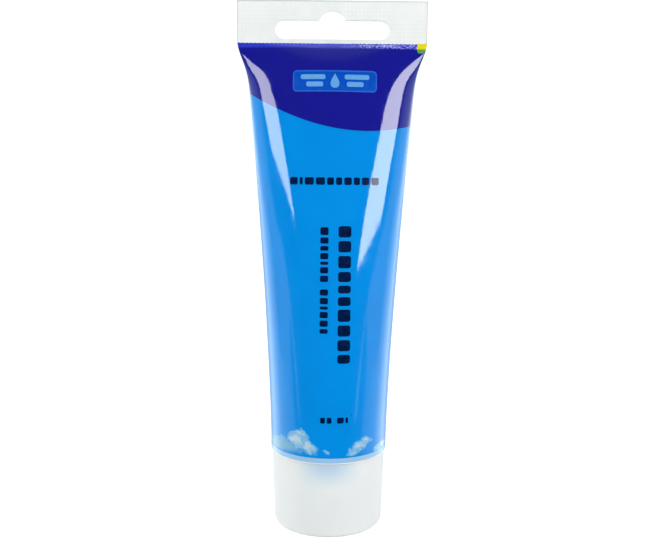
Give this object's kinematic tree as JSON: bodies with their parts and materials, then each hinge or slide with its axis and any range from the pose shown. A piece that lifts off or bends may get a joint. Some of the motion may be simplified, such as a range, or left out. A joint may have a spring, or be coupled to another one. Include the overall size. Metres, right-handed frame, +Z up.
{
  "type": "paint tube",
  "caption": "Clear squeeze tube of sky-blue paint, its crimped tail cut with a hang slot, standing on a wide frosted screw cap.",
  "frame": {"origin": "centre of the cap's flat base, where the tube stands", "axes": "+Z up along the tube to its sealed tail; the printed front faces -Y; +X along the crimp, to the viewer's right"},
  "size_m": [0.055, 0.035, 0.1544],
  "materials": {
    "clear_sleeve": "clear glossy film over blue paint, printed with an indigo band",
    "frosted_cap": "frosted translucent moulded plastic",
    "shoulder_plastic": "satin natural white moulded plastic",
    "blue_paint": "wet smooth paint",
    "foil": "satin foil",
    "foam_wad": "matte closed-cell foam"
  },
  "bodies": {
    "cap": {"cap": "frosted_cap"},
    "liner": {"cap_liner": "foam_wad"},
    "tube": {"sleeve": "clear_sleeve", "shoulder": "shoulder_plastic", "paint": "blue_paint", "orifice_seal": "foil"}
  },
  "joints": [
    {"name": "cap_turn", "type": "hinge", "parent": "cap", "child": "liner", "pos_m": [0, 0, 0.0088], "axis": [0, 0, 1], "range_deg": [0, 1800]},
    {"name": "cap_lift", "type": "slide", "parent": "liner", "child": "tube", "axis": [0, 0, 1], "range_m": [0, 0.015]}
  ],
  "couplings": [
    {"joint": "cap_lift", "follows": "cap_turn", "m_per_rad": 0.00047746}
  ]
}
